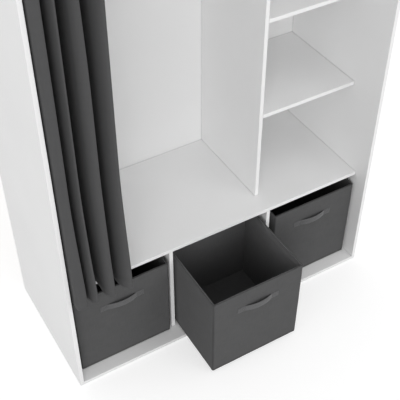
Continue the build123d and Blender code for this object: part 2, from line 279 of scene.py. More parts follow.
def makeFoilGroup(values):
    group, given, out = newGroup(
        "Foil Face", {"Vector": None, "Mottle": 0.02, "Gloss": 0.42}, ("Tone", "Roughness", "Height")
    )
    place = given["Vector"]
    cloud = speckle(group, place, values["cloud"], 3.0)
    fine = speckle(group, place, values["grain"], 1.0)
    pores = speckle(group, stretched(group, place, values["pores"]), 1.0, 2.0)
    low, high = (calc(group, sign, 1.0, given["Mottle"]) for sign in ("SUBTRACT", "ADD"))
    group.links.new(spread(group, cloud, low, high), out["Tone"])
    uneven = speckle(group, place, values["shineCloud"])
    uneven = spread(group, uneven, -values["shineSpread"], values["shineSpread"])
    group.links.new(calc(group, "ADD", given["Gloss"], uneven), out["Roughness"])
    grain = calc(group, "MULTIPLY", fine, values["grainShare"])
    height = calc(group, "ADD", grain, calc(group, "MULTIPLY", pores, values["poreShare"]))
    group.links.new(height, out["Height"])
    return group


facingEffect = {"begins": 0.8, "full": 0.95}      # cosines of the angle to the side's normal


def makeFacingGroup(values):
    group, given, out = newGroup("Facing Side", {"Side": None}, ("Mask",))
    normal = put(group, "ShaderNodeNewGeometry").outputs["Normal"]
    facing = put(group, "ShaderNodeVectorMath", {"operation": "DOT_PRODUCT"}, i0=normal, i1=given["Side"])
    mask = remap(group, facing.outputs["Value"], values["begins"], values["full"], 0.0, 1.0)
    group.links.new(mask, out["Mask"])
    return group


weaveEffect = {"uneven": (90.0, 6.0), "tones": (0.86, 1.06)}


def makeWeaveGroup(values):
    group, given, out = newGroup(
        "Plain Weave", {"Vector": None, "Pitch": 0.0008, "Slub": 0.12}, ("Tone", "Height")
    )
    slubs = streaks(group, given["Vector"], values["uneven"], 2.0)
    split = splitPlace(group, given["Vector"])
    perThread = calc(group, "DIVIDE", math.pi, given["Pitch"])
    warp, weft = (calc(group, "SINE", calc(group, "MULTIPLY", split[i], perThread)) for i in "XY")
    over = calc(group, "GREATER_THAN", calc(group, "MULTIPLY", warp, weft), 0.0)
    warpHigh = calc(group, "MULTIPLY", calc(group, "ABSOLUTE", warp), over)
    weftHigh = calc(group, "MULTIPLY", calc(group, "ABSOLUTE", weft), calc(group, "SUBTRACT", 1.0, over))
    height = calc(group, "ADD", warpHigh, weftHigh)
    group.links.new(height, out["Height"])
    slub = calc(group, "SUBTRACT", calc(group, "ADD", *slubs), 1.0)
    shade = remap(group, height, 0.0, 1.0, *values["tones"])
    group.links.new(calc(group, "MULTIPLY_ADD", slub, given["Slub"], shade), out["Tone"])
    return group


feltEffect = {
    "fibre": (260.0, 2200.0), "slub": (30.0, 330.0), "cloud": 22.0, "roughness": 0.6,
    "mean": 2.05,      # of the four noises' sum
}


def makeFeltGroup(values):
    group, given, out = newGroup("Pressed Fibre", {"Vector": None, "Mottle": 0.08}, ("Tone", "Height"))
    fibres = calc(group, "MAXIMUM", *streaks(group, given["Vector"], values["fibre"], 3.0, values["roughness"]))
    group.links.new(fibres, out["Height"])
    slubs = calc(group, "ADD", *streaks(group, given["Vector"], values["slub"], 2.0))
    cloud = speckle(group, given["Vector"], values["cloud"], 3.0, values["roughness"])
    rough = calc(group, "ADD", slubs, calc(group, "ADD", fibres, cloud))
    rough = calc(group, "SUBTRACT", rough, values["mean"])
    group.links.new(calc(group, "MULTIPLY_ADD", rough, given["Mottle"], 1.0), out["Tone"])
    return group


stitchEffect = {"halfLength": 0.36, "dentReach": 4.0}      # shares of the pitch and of the thread's width


def makeStitchGroup(values):
    group, given, out = newGroup(
        "Stitch Row", {"Along": 0.0, "Across": 0.0, "Pitch": 0.004, "Width": 0.0007}, ("Thread", "Dent")
    )
    step = calc(group, "FRACT", calc(group, "DIVIDE", given["Along"], given["Pitch"]))
    fromMiddle = calc(group, "ABSOLUTE", calc(group, "SUBTRACT", step, 0.5))
    along = calc(group, "LESS_THAN", fromMiddle, values["halfLength"])
    across = calc(group, "ABSOLUTE", given["Across"])
    near = remap(group, across, 0.0, given["Width"], 1.0, 0.0)
    group.links.new(calc(group, "MULTIPLY", along, near), out["Thread"])
    wide = calc(group, "MULTIPLY", given["Width"], values["dentReach"])
    group.links.new(remap(group, across, 0.0, wide, 1.0, 0.0), out["Dent"])
    return group


metalEffect = {"tones": (0.94, 1.04), "detail": 3.0, "roughness": 0.6}


def makeDrawnMetalGroup(values):
    group, given, out = newGroup(
        "Drawn Metal", {"Vector": None, "Base": 0.25, "Spread": 0.1}, ("Tone", "Roughness", "Height")
    )
    lines = speckle(group, given["Vector"], 1.0, values["detail"], values["roughness"])
    group.links.new(spread(group, lines, *values["tones"]), out["Tone"])
    group.links.new(calc(group, "MULTIPLY_ADD", lines, given["Spread"], given["Base"]), out["Roughness"])
    group.links.new(lines, out["Height"])
    return group


mouldedEffect = {"grain": 2600.0, "flow": 60.0, "tones": (0.97, 1.02), "shineSpread": 0.12}


def makeMouldedGroup(values):
    group, given, out = newGroup(
        "Moulded Surface", {"Vector": None, "Base": 0.4}, ("Tone", "Roughness", "Height")
    )
    grain = speckle(group, given["Vector"], values["grain"], 1.0)
    flow = speckle(group, given["Vector"], values["flow"], 2.0)
    group.links.new(spread(group, flow, *values["tones"]), out["Tone"])
    group.links.new(calc(group, "MULTIPLY_ADD", flow, values["shineSpread"], given["Base"]), out["Roughness"])
    group.links.new(grain, out["Height"])
    return group


foilGroup = makeFoilGroup(foilEffect)
facingGroup = makeFacingGroup(facingEffect)
weaveGroup = makeWeaveGroup(weaveEffect)
feltGroup = makeFeltGroup(feltEffect)
stitchGroup = makeStitchGroup(stitchEffect)
drawnMetalGroup = makeDrawnMetalGroup(metalEffect)
mouldedGroup = makeMouldedGroup(mouldedEffect)
print("effects ready:", len(bpy.data.node_groups))


# Materials: a relief is the depth of the bump and its strength

def startMaterial(name, look):
    material = bpy.data.materials.new(name)
    material.use_nodes = True
    tree = material.node_tree
    shader = tree.nodes["Principled BSDF"]
    for key, value in look.items():
        shader.inputs[key].default_value = value
    return material, tree, shader


def objectPlace(tree):
    return tree.nodes.new("ShaderNodeTexCoord").outputs["Object"]


def clothPlace(tree):
    return put(tree, "ShaderNodeUVMap", {"uv_map": "cloth"}).outputs[0]


def useGroup(tree, group, **inputs):
    return put(tree, "ShaderNodeGroup", {"node_tree": group}, **inputs).outputs


def attribute(tree, name):
    return put(tree, "ShaderNodeAttribute", {"attribute_name": name}).outputs["Fac"]


def paint(tree, shader, color, tone):
    tree.links.new(tint(tree, color, tone), shader.inputs["Base Color"])


def addBump(tree, shader, height, relief):
    bump = put(tree, "ShaderNodeBump", Height=height, Distance=relief[0], Strength=relief[1])
    tree.links.new(bump.outputs["Normal"], shader.inputs["Normal"])


foilBoard = {
    "shader": {"Specular IOR Level": 0.35}, "face": (0.885, 0.885, 0.885), "mottle": 0.012, "gloss": 0.46,
    "edge": (0.893, 0.893, 0.893), "edgeSide": (0, -1, 0), "edgeFleck": 0.01, "edgeGloss": 0.36,
    "chips": (420.0, 420.0, 160.0), "relief": (0.00002, 0.6),
    "cornerShadeReach": 0.0045, "jointAndCornerShade": 0.82,      # painted shade in inner corners and beside nearby parts, partly the real dark line where two boards meet
}
backSheet = foilBoard | {
    "mottle": 0.016, "gloss": 0.55, "relief": (0.00003, 0.6),
    "edge": (0.42, 0.33, 0.24), "edgeSide": (0, 1, 0), "edgeFleck": 0.22, "edgeGloss": 0.8,      # the bare rear
}


def makeFoilBoard(name, values):
    material, tree, shader = startMaterial(name, values["shader"])
    foil = useGroup(tree, foilGroup, Vector=objectPlace(tree), Mottle=values["mottle"], Gloss=values["gloss"])
    band = useGroup(tree, facingGroup, Side=values["edgeSide"])["Mask"]
    # painted shade: an occlusion test darkens the foil in inner corners and next to nearby parts, partly the dark
    # joint between boards
    corner = put(tree, "ShaderNodeAmbientOcclusion", {"samples": 8}, Distance=values["cornerShadeReach"]).outputs["AO"]
    tone = calc(tree, "MULTIPLY", foil["Tone"], remap(tree, corner, 0.5, 1.0, values["jointAndCornerShade"], 1.0))
    chips = speckle(tree, stretched(tree, objectPlace(tree), values["chips"]), 1.0, 4.0, 0.7)
    fleck = spread(tree, chips, 1 - values["edgeFleck"], 1 + values["edgeFleck"] / 2)
    color = put(
        tree, "ShaderNodeMix", {"data_type": "RGBA"}, i0=band,
        i6=tint(tree, values["face"], tone), i7=tint(tree, values["edge"], calc(tree, "MULTIPLY", tone, fleck)),
    )
    tree.links.new(color.outputs[2], shader.inputs["Base Color"])
    rough = put(tree, "ShaderNodeMix", i0=band, i2=foil["Roughness"], i3=values["edgeGloss"])
    tree.links.new(rough.outputs[0], shader.inputs["Roughness"])
    addBump(tree, shader, foil["Height"], values["relief"])
    return material


curtainLook = {
    "shader": {"Roughness": 0.95, "Specular IOR Level": 0.15, "Sheen Weight": 0.06, "Sheen Roughness": 0.5},
    "color": (0.082, 0.082, 0.0832), "pitch": 0.0009, "slub": 0.1, "relief": (0.00012, 0.5),
    "fade": (4.0, 1.3, 1.0), "fadeTones": (0.96, 1.04),
    "hemRow": 0.0225, "headRows": (0.004, 0.026), "stitchPitch": 0.0042, "thread": 0.0009,
    "threadTone": 0.3, "threadHeight": 2.5, "dentDepth": 3.0,
}


def makeCurtainCloth(name, values, length):
    material, tree, shader = startMaterial(name, values["shader"])
    place = clothPlace(tree)
    weave = useGroup(tree, weaveGroup, Vector=place, Pitch=values["pitch"], Slub=values["slub"])
    split = splitPlace(tree, place)
    thread, dent = 0.0, 0.0
    for row in (values["hemRow"], *(length - down for down in values["headRows"])):
        across = calc(tree, "SUBTRACT", split["Y"], row)
        stitch = useGroup(
            tree, stitchGroup, Along=split["X"], Across=across, Pitch=values["stitchPitch"], Width=values["thread"]
        )
        thread = calc(tree, "MAXIMUM", stitch["Thread"], thread)
        dent = calc(tree, "MAXIMUM", stitch["Dent"], dent)
    fade = speckle(tree, stretched(tree, place, values["fade"]), 1.0, 3.0)
    tone = calc(tree, "MULTIPLY", weave["Tone"], spread(tree, fade, *values["fadeTones"]))
    tone = calc(tree, "MULTIPLY_ADD", thread, values["threadTone"], tone)
    paint(tree, shader, values["color"], tone)
    height = calc(tree, "MULTIPLY_ADD", thread, values["threadHeight"], weave["Height"])
    height = calc(tree, "MULTIPLY_ADD", dent, -values["dentDepth"], height)
    addBump(tree, shader, height, values["relief"])
    return material


coverLook = {
    "shader": curtainLook["shader"] | {"Sheen Roughness": 0.6},
    "color": (0.0875, 0.0875, 0.0887), "mottle": 0.2, "relief": (0.00015, 0.6),
    # the darkening along the seams is partly painted shade, and the lift inside the rim is painted light
    "seamAndPaintedShade": 0.6, "paintedLightLift": 0.85,
}


def makeCoverCloth(name, values):
    material, tree, shader = startMaterial(name, values["shader"])
    felt = useGroup(tree, feltGroup, Vector=clothPlace(tree), Mottle=values["mottle"])
    seamAndShade, paintedInnerLight = attribute(tree, "seamAndShade"), attribute(tree, "paintedInnerLight")
    # painted shade: the seam mask darkens the cover at its upright seams, at the foot and on the rim's top
    tone = calc(tree, "MULTIPLY", felt["Tone"], remap(tree, seamAndShade, 0.0, 1.0, 1.0, 1 - values["seamAndPaintedShade"]))
    # painted light: the inside of a pulled-out basket is brightened near the rim, fading downwards
    tone = calc(tree, "MULTIPLY", tone, remap(tree, paintedInnerLight, 0.0, 1.0, 1.0, 1 + values["paintedLightLift"]))
    paint(tree, shader, values["color"], tone)
    addBump(tree, shader, felt["Height"], values["relief"])
    return material


strapLook = {
    "shader": {"Roughness": 0.9, "Specular IOR Level": 0.2, "Sheen Weight": 0.2, "Sheen Roughness": 0.5},
    "color": (0.118, 0.118, 0.12), "pitch": 0.0011, "slub": 0.12, "relief": (0.0002, 0.6),
    "sewnEnd": 0.024, "sewnBlend": 0.004, "sewnShade": 0.93,      # each end that is sewn flat, a little darker
}


def makeStrapCloth(name, values, halfLength):
    material, tree, shader = startMaterial(name, values["shader"])
    weave = useGroup(tree, weaveGroup, Vector=clothPlace(tree), Pitch=values["pitch"], Slub=values["slub"])
    along = calc(tree, "ABSOLUTE", splitPlace(tree, clothPlace(tree))["X"])
    sewnFrom = halfLength - values["sewnEnd"]
    sewn = remap(tree, along, sewnFrom - values["sewnBlend"], sewnFrom, 1.0, values["sewnShade"])
    tone = calc(tree, "MULTIPLY", weave["Tone"], sewn)
    paint(tree, shader, values["color"], tone)
    addBump(tree, shader, weave["Height"], values["relief"])
    return material


# base and spread are the least roughness and its range, and grain is the scale of the lines
metals = {
    "railChrome": {"color": (0.82, 0.83, 0.84), "base": 0.08, "spread": 0.08, "grain": (6.0, 900.0, 900.0)},
    "socketMetal": {"color": (0.75, 0.76, 0.77), "base": 0.16, "spread": 0.1, "grain": (300.0, 300.0, 300.0)},
    "trackAluminium": {"color": (0.84, 0.84, 0.85), "base": 0.34, "spread": 0.14, "grain": (5.0, 1400.0, 1400.0)},
    "zincPlate": {"color": (0.66, 0.66, 0.65), "base": 0.3, "spread": 0.2, "grain": (500.0, 500.0, 500.0)},
    "castZinc": {"color": (0.55, 0.55, 0.56), "base": 0.42, "spread": 0.2, "grain": (400.0, 400.0, 400.0)},
}
metalRelief = {"drawn": (0.00001, 0.5), "castZinc": (0.00003, 0.5)}


def makeMetal(name, values):
    material, tree, shader = startMaterial(name, {"Metallic": 1.0})
    place = stretched(tree, objectPlace(tree), values["grain"])
    lines = useGroup(tree, drawnMetalGroup, Vector=place, Base=values["base"], Spread=values["spread"])
    paint(tree, shader, values["color"], lines["Tone"])
    tree.links.new(lines["Roughness"], shader.inputs["Roughness"])
    addBump(tree, shader, lines["Height"], metalRelief.get(name, metalRelief["drawn"]))
    return material


threadLook = {"color": (0.09, 0.09, 0.092), "base": 0.7, "relief": (0.00002, 0.5)}
plasticLook = {"color": (0.78, 0.78, 0.77), "base": 0.34, "relief": (0.00002, 0.5)}


def makeMoulded(name, values):
    material, tree, shader = startMaterial(name, {"Specular IOR Level": 0.5})
    surface = useGroup(tree, mouldedGroup, Vector=objectPlace(tree), Base=values["base"])
    paint(tree, shader, values["color"], surface["Tone"])
    tree.links.new(surface["Roughness"], shader.inputs["Roughness"])
    addBump(tree, shader, surface["Height"], values["relief"])
    return material


beechLook = {
    "dark": (0.46, 0.29, 0.16), "light": (0.62, 0.44, 0.27), "grain": (300.0, 300.0, 24.0),
    "rough": 0.6, "relief": (0.0001, 0.5),
}
cardLook = {
    "dark": (0.28, 0.26, 0.23), "light": (0.38, 0.36, 0.33), "grain": (700.0, 700.0, 700.0),
    "rough": 0.9, "relief": (0.0001, 0.5),
}


def makeFibrous(name, values):
    material, tree, shader = startMaterial(name, {"Roughness": values["rough"], "Specular IOR Level": 0.2})
    streak = speckle(tree, stretched(tree, objectPlace(tree), values["grain"]), 1.0, 4.0, 0.6)
    color = put(
        tree, "ShaderNodeMix", {"data_type": "RGBA"}, i0=spread(tree, streak, 0.0, 1.0),
        i6=(*values["dark"], 1), i7=(*values["light"], 1),
    )
    tree.links.new(color.outputs[2], shader.inputs["Base Color"])
    addBump(tree, shader, streak, values["relief"])
    return material


boardFoil = makeFoilBoard("boardFoil", foilBoard)
backFoil = makeFoilBoard("backFoil", backSheet)
coverCloth = makeCoverCloth("coverCloth", coverLook)
strapLow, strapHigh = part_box("basket_handle_centre")
strapCloth = makeStrapCloth("strapCloth", strapLook, (strapHigh[0] - strapLow[0]) / 2)
metal = {name: makeMetal(name, values) for name, values in metals.items()}
sewingThread, whitePlastic = makeMoulded("sewingThread", threadLook), makeMoulded("whitePlastic", plasticLook)
beechWood, greyCard = makeFibrous("beechWood", beechLook), makeFibrous("greyCard", cardLook)
print("materials ready")


# The pieces whose CAD shape is right keep it, and get a finish

finishes = {name: boardFoil for name in boards}
finishes |= {"back_sheet_left": backFoil, "back_sheet_right": backFoil}
finishes |= {"clothes_rail": metal["railChrome"], "curtain_track": metal["trackAluminium"]}
finishes |= {"rail_socket_left": metal["socketMetal"], "rail_socket_right": metal["socketMetal"]}
finishes |= {"cam_bolts": metal["zincPlate"], "dowels": beechWood}
finishes |= {name: whitePlastic for name in ("track_stop_left", "track_stop_right", *gliders)}

for name, material in finishes.items():
    for place in nodes[name].material_slots:
        place.material = material
print("CAD pieces finished:", len(finishes))


# Curtain: one cloth in four folds

curtain = {
    "thickness": 0.0014, "hemTurn": 0.024, "headTurn": 0.03, "columns": 400, "rowHeight": 0.026,
    "hemRows": (0, 0.006, 0.015), "turnStep": 0.0015,      # where the hem is bent, and the step where a turn ends
    "pleatHalf": 0.001,      # half the thickness of the CAD folds
    "sideShares": (0, 0.161, 0.2485, 0.3325, 0.5276, 0.673, 0.853, 1),
    "crestTop": 0.006,      # how far the crests stand ahead of the carcass above the flare
    "flareRise": 0.43,      # height above the hem over which the folds swing forward
    # where each crest is foremost as a share of its width, its left bend's depth and its right edge's radius
    "crests": ((0.4, 0.015, 0.004), (1.15, 0.036, 0.003), (1.05, 0.026, 0.003), (1.1, 0.05, 0.004)),
    # how far each fold's two sides stand from their share, at the hem, above it and from halfway up
    "shifts": {
        "hem": (-0.003, 0, 0, 0.0045, 0, 0, -0.0045, 0),
        "low": (-0.005, -0.007, 0, 0, 0, 0, 0, 0),
        "high": (-0.005, -0.007, 0, 0, 0, -0.0065, 0, 0),
    },
    "firstAhead": {"hem": 0, "low": 0.01, "high": 0.01},      # how far the first fold stands ahead of the others
    "hemRise": 0.36, "highFrom": 0.65, "highRise": 0.5,
    "troughDepth": 0.009, "deeper": 0.0065,      # how far the troughs and free edges reach behind the CAD folds
    "arcSteps": 14, "smoothAngle": 60,
    "ripple": 0.0009, "rippleFrom": 0.9, "rippleFade": 0.5,      # the small unevenness, which fades towards the head
    "sway": (7, 2.1, 3.7), "nod": (6, 2.6, 9.1),      # its scale along the cloth and up it, and its seed
}


def foldOutline(values, level):
    # seen from above: straight sides joined by rounded crests and troughs
    first, last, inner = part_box(pleats[0]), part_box(pleats[-1]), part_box(pleats[1])
    half = values["pleatHalf"]
    start, end = first[0][0] + half, last[1][0] - half
    sides = [
        start + share * (end - start) + shift
        for share, shift in zip(values["sideShares"], values["shifts"][level])
    ]
    trough, freeEdge = inner[1][1] - half + values["deeper"], first[1][1] + values["deeper"]

    def quarter(centre, reach, height, begin, finish):
        steps = values["arcSteps"]
        for i in range(1, steps + 1):
            turn = math.radians(begin + (finish - begin) * i / steps)
            yield centre[0] + reach * math.cos(turn), centre[1] + height * math.sin(turn)

    outline = [(sides[0], freeEdge)]
    for i, (apexShare, leftDepth, edgeRadius) in enumerate(values["crests"]):
        left, right = sides[2 * i], sides[2 * i + 1]
        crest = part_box("side_panel_left")[0][1] - values["crestTop"]
        if i == 0:
            crest -= values["firstAhead"][level]
        apex = left + apexShare * (right - left)
        bend = quarter((apex, crest + leftDepth), apex - left, leftDepth, 180, 270)
        outline.append((left, crest + leftDepth))
        outline += [place for place in bend if place[0] < right - edgeRadius]
        outline += quarter((right - edgeRadius, outline[-1][1] + edgeRadius), edgeRadius, edgeRadius, 270, 360)
        if i == len(values["crests"]) - 1:
            outline.append((right, freeEdge))
            break
        following = sides[2 * i + 2]
        middle, depth = (right + following) / 2, values["troughDepth"]
        outline.append((right, trough - depth))
        outline += quarter((middle, trough - depth), middle - right, depth, 180, 90)
        outline += quarter((middle, trough - depth), following - middle, depth, 90, 0)
    return outline


def walkOutline(outline, count):
    # evenly spaced places on the outline, each with its distance along it, and the whole length
    lengths = [0.0]
    for a, b in zip(outline, outline[1:]):
        lengths.append(lengths[-1] + math.dist(a, b))
    places, part = [], 0
    for i in range(count + 1):
        along = lengths[-1] * i / count
        while part < len(outline) - 2 and lengths[part + 1] < along:
            part += 1
        share = (along - lengths[part]) / (lengths[part + 1] - lengths[part])
        a, b = Vector(outline[part]), Vector(outline[part + 1])
        places.append((a.lerp(b, share), along))
    return places, lengths[-1]


def makeCurtain(values):
    low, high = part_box(pleats[0])
    hem, tall, half = low[2], high[2] - low[2], values["pleatHalf"]
    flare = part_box("side_panel_left")[0][1] - values["crestTop"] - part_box(pleats[1])[0][1] - half
    columns = values["columns"]
    places, wide = walkOutline(foldOutline(values, "low"), columns)
    highPlaces, hemPlaces = (walkOutline(foldOutline(values, level), columns)[0] for level in ("high", "hem"))
    step, turned, upper = values["turnStep"], values["hemTurn"], tall - values["headTurn"]
    heights = [*values["hemRows"], turned, turned + step]
    rows = round((upper - step - heights[-1]) / values["rowHeight"])
    heights += [heights[-1] + (upper - step - heights[-1]) * (i + 1) / rows for i in range(rows)]
    heights += [upper, upper + values["headTurn"] / 2, tall]

    def uneven(along, height, scales):
        return noise.noise((along * scales[0], height * scales[1], scales[2]))

    bm = bmesh.new()
    bmesh.ops.create_grid(bm, x_segments=columns, y_segments=len(heights) - 1, size=0.5)
    layer = bm.loops.layers.uv.new("cloth")
    spots = {}
    for vert in bm.verts:
        column = round((vert.co.x + 0.5) * columns)
        height = heights[round((vert.co.y + 0.5) * (len(heights) - 1))]
        place, along = places[column]
        place = place.lerp(hemPlaces[column][0], 1 - smoothStep(height / values["hemRise"]))
        place = place.lerp(highPlaces[column][0], smoothStep((height - values["highFrom"]) / values["highRise"]))
        swing = flare * (1 - smoothStep(height / values["flareRise"]))
        loose = values["ripple"] * (1 - smoothStep((height - values["rippleFrom"]) / values["rippleFade"]))
        sway = uneven(along, height, values["sway"]) * loose
        nod = uneven(along, height, values["nod"]) * loose
        spots[vert] = (along, height)
        vert.co = (place.x + sway, place.y - swing + nod, hem + height)
    layFlat(bm, layer, spots)
    faceOutward(bm)
    bm.verts.index_update()
    doubled = [v.index for v in bm.verts if spots[v][1] <= turned + tiny or spots[v][1] >= upper - tiny]
    material = makeCurtainCloth("curtainCloth", curtainLook, tall)
    cloth = newPiece("curtain_cloth", bm, material, None, values["smoothAngle"])
    cloth.vertex_groups.new(name="doubled").add(doubled, 1.0, "REPLACE")
    wall = addWall(cloth, 2 * values["thickness"], 0)
    wall.vertex_group = "doubled"
    wall.thickness_vertex_group = 0.5
    bakeModifiers(cloth)
    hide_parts(*pleats)
    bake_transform(cloth)
    print("curtain cloth:", round(wide, 3), "by", round(tall, 3))


makeCurtain(curtain)


# Baskets: a sewn cover over stiff cards, a little wider at the rim where they are pulled out

basketFlare = {"left": 0.0008, "centre": 0.001, "right": 0.0004}

cover = {
    "wall": 0.0057, "corner": 0.004, "cornerSteps": 6, "bottomRound": 0.003, "rimRound": 0.0013, "smoothAngle": 50,
    "crown": 0.0006, "unevenness": 0.0005, "unevenScale": 16, "seed": 31,
    # beside each upright seam a groove, and on the seam a dip, with the sharpness of both
    "shoulder": 0.007, "groove": 0.0005, "grooveSharp": 2.2, "dip": 1.4, "dipSharp": 2.6,
    "seamReach": 0.0028, "footShadeReach": 0.0045, "rimSeam": 0.5,      # how far the dark seams and their painted shade reach beside the corners, how far the painted contact shade reaches up from the foot, and the painted shade on the rim's top
    "paintedLightFade": 0.25,      # painted light inside a pulled-out basket: the depth below the rim over which it fades
    "cuts": 22, "edgeCuts": (0.003, 0.007, 0.011, 0.016),
    "lip": 0.03, "lipStep": 0.0007, "lipCut": 0.001,      # the rim's turned-in band
}


def flareOut(at, low, high, flare):
    rise = min(max((at.z - low.z) / (high.z - low.z), 0), 1)
    half, middle = (high.x - low.x) / 2, (high.x + low.x) / 2
    ahead = (high.y - at.y) / (high.y - low.y)
    return Vector((flare * rise * (at.x - middle) / half, -flare * rise * ahead, 0))


def flareAll(bm, side):
    low, high = vectorBox(f"basket_cover_{side}")
    for vert in bm.verts:
        vert.co += flareOut(vert.co, low, high, basketFlare[side])


def boxShell(size, values):
    # an open box with rounded edges, cut finely enough to bend
    bm = bmesh.new()
    bmesh.ops.create_cube(bm, size=1)
    bmesh.ops.scale(bm, vec=size, verts=bm.verts)
    bmesh.ops.delete(bm, geom=[f for f in bm.faces if f.normal.z > 0.9], context="FACES_ONLY")
    upright = [e for e in bm.edges if abs(e.verts[0].co.z - e.verts[1].co.z) > size.z / 2]
    roundEdges(bm, upright, values["corner"], values["cornerSteps"])
    rim = size.z / 2
    foot = [e for e in bm.edges if all(v.co.z < -rim + tiny for v in e.verts) and len(e.link_faces) == 2]
    roundEdges(bm, foot, values["bottomRound"], 2)
    shares = [i / values["cuts"] - 0.5 for i in range(1, values["cuts"])]
    for axis in (0, 1):
        straight = size[axis] / 2 - values["corner"]
        beside = [straight - cut for cut in values["edgeCuts"]]
        cutAcross(bm, axis, [share * 2 * straight for share in shares] + beside + [-b for b in beside])
    lip = rim - values["lip"]
    cutAcross(bm, 2, [share * size.z for share in shares] + [lip, lip - values["lipCut"]])
    return bm


def bendWalls(bm, size, middle, values):
    # bulges, uneven cloth and the sewn corners
    straight = size / 2 - Vector((values["corner"], values["corner"], 0))
    for vert in bm.verts:
        at = vert.co.copy()
        over = [abs(at[axis]) - straight[axis] for axis in (0, 1)]
        towards = Vector([math.copysign(max(over[axis], 0), at[axis]) for axis in (0, 1)] + [0])
        if towards.length < tiny:
            continue
        bow = 1 - (2 * at.z / size.z) ** 2
        for axis in (0, 1):
            if over[axis] < 0:
                bow *= 1 - (at[axis] / straight[axis]) ** 2
        shift = values["crown"] * max(bow, 0)
        shift += values["unevenness"] * noise.noise(at * values["unevenScale"] + middle * values["seed"])
        fromCorner = math.dist((abs(at.x), abs(at.y)), (size.x / 2, size.y / 2)) / values["shoulder"]
        groove = math.exp(-((fromCorner - 1) * values["grooveSharp"]) ** 2)
        dip = math.exp(-((fromCorner * values["dipSharp"]) ** 4))
        shift += values["groove"] * (groove - values["dip"] * dip)
        vert.co += towards.normalized() * shift


def finishCover(bm, side, values):
    # the rim's turned-in band, where the seams and painted shade darken the cover, and where painted light brightens
    # its inside
    low, high = vectorBox(f"basket_cover_{side}")
    size, middle, rim = high - low, (low + high) / 2, high.z
    seamAndShade, paintedInnerLight = bm.verts.layers.float.new("seamAndShade"), bm.verts.layers.float.new("paintedInnerLight")
    pulledOut = smoothStep((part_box("middle_panel")[0][1] - low.y) / size.y)
    for vert in bm.verts:
        at = vert.co - middle
        inside = [size[axis] / 2 - abs(at[axis]) for axis in (0, 1)]
        isInside = min(inside) > values["wall"] * 0.8
        if isInside and rim - values["lip"] - 10 * tiny < vert.co.z < rim - values["rimRound"]:
            for axis in (0, 1):
                if inside[axis] < values["wall"] * 1.5:
                    vert.co[axis] -= math.copysign(values["lipStep"], at[axis])
        fromCorner = math.hypot(max(inside[0], 0), max(inside[1], 0))
        fromFoot = max(vert.co.z - low.z, 0)
        # painted light, strongest near the rim of a pulled-out basket
        vert[paintedInnerLight] = pulledOut * smoothStep(1 - (rim - vert.co.z) / values["paintedLightFade"]) if isInside else 0
        # painted shade on the rim's top, along the corners beside the dark seams, and as contact shade at the foot
        if vert.co.z > rim - values["rimRound"] / 2:
            vert[seamAndShade] = values["rimSeam"]
        elif not isInside:
            beside = math.exp(-((fromCorner / values["seamReach"]) ** 2))
            vert[seamAndShade] = max(beside, math.exp(-((fromFoot / values["footShadeReach"]) ** 2)))


def makeCover(side, values):
    low, high = vectorBox(f"basket_cover_{side}")
    size, middle = high - low, (low + high) / 2
    bm = boxShell(size, values)
    bendWalls(bm, size, middle, values)
    faceOutward(bm)
    if sum(f.normal.z * f.calc_area() for f in bm.faces) > 0:
        bmesh.ops.reverse_faces(bm, faces=bm.faces)
    bmesh.ops.translate(bm, vec=middle, verts=bm.verts)
    piece = newPiece(
        f"basket_cover_cloth_{side}", bm, coverCloth, f"basket_{side}", values["smoothAngle"]
    )
    addWall(piece, values["wall"], -1).use_even_offset = True
    bakeModifiers(piece)

    bm = bmesh.new()
    bm.from_mesh(piece.data)
    rimEdges = [
        e for e in bm.edges
        if all(abs(v.co.z - high.z) < 10 * tiny for v in e.verts)
        and len(e.link_faces) == 2
        and abs(e.link_faces[0].normal.z - e.link_faces[1].normal.z) > 0.7
    ]
    roundEdges(bm, rimEdges, values["rimRound"], 3)
    faceOutward(bm)
    unwrapInMetres(bm)
    finishCover(bm, side, values)
    flareAll(bm, side)
    bm.to_mesh(piece.data)
    bm.free()
    smoothFaces(piece.data, values["smoothAngle"])
    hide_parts(f"basket_cover_{side}")


cards = {"edgeRound": 0.0007, "cornerReach": 0.006, "cornerDraw": 0.00064}      # corners drawn in, clear of the cover


def makeCards(side, values):
    low, high = vectorBox(f"basket_cover_{side}")
    bm = bmesh.new()
    for start, end in solidBoxes(f"basket_cards_{side}"):
        old = set(bm.verts)
        bmesh.ops.create_cube(bm, size=1)
        fresh = addedSince(bm, old)
        bmesh.ops.scale(bm, vec=end - start, verts=fresh)
        bmesh.ops.translate(bm, vec=(start + end) / 2, verts=fresh)
    roundEdges(bm, bm.edges[:], values["edgeRound"], 2)
    flareAll(bm, side)
    for vert in bm.verts:
        inward = Vector((low.x + high.x, low.y + high.y)) / 2 - vert.co.xy
        besideX = min(abs(vert.co.x - low.x), abs(vert.co.x - high.x)) < values["cornerReach"]
        besideY = min(vert.co.y - low.y, high.y - vert.co.y) < values["cornerReach"]
        if besideX and besideY:
            vert.co += (inward.normalized() * values["cornerDraw"]).to_3d()
    piece = newPiece(f"basket_cards_cut_{side}", bm, greyCard, f"basket_{side}", smoothAngle=40)
    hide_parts(f"basket_cards_{side}")


strap = {
    "thickness": 0.0018, "droop": -0.0035, "lean": 0.0003, "cup": 0.0008, "early": 1.15,
    "columns": 64, "rows": 8, "edgeRound": 0.0006,
    "stitch": 0.0032, "stitchPitch": 0.0042, "threadRadius": 0.0004, "stitchInset": 0.003, "threadSunk": 0.4,
}


def sewRow(bm, start, end, outward, values):
    start, end, outward = Vector(start), Vector(end), Vector(outward)
    count = max(round((end - start).length / values["stitchPitch"]), 1)
    along = (end - start).normalized()
    turn = Matrix((along, outward.cross(along), outward)).transposed().to_4x4()
    for i in range(count):
        old = set(bm.verts)
        bmesh.ops.create_icosphere(bm, subdivisions=1, radius=1)
        fresh = addedSince(bm, old)
        bmesh.ops.scale(bm, vec=(values["stitch"] / 2, values["threadRadius"], values["threadRadius"]), verts=fresh)
        place = start.lerp(end, (i + 0.5) / count)
        bmesh.ops.transform(bm, matrix=Matrix.Translation(place) @ turn, verts=fresh)


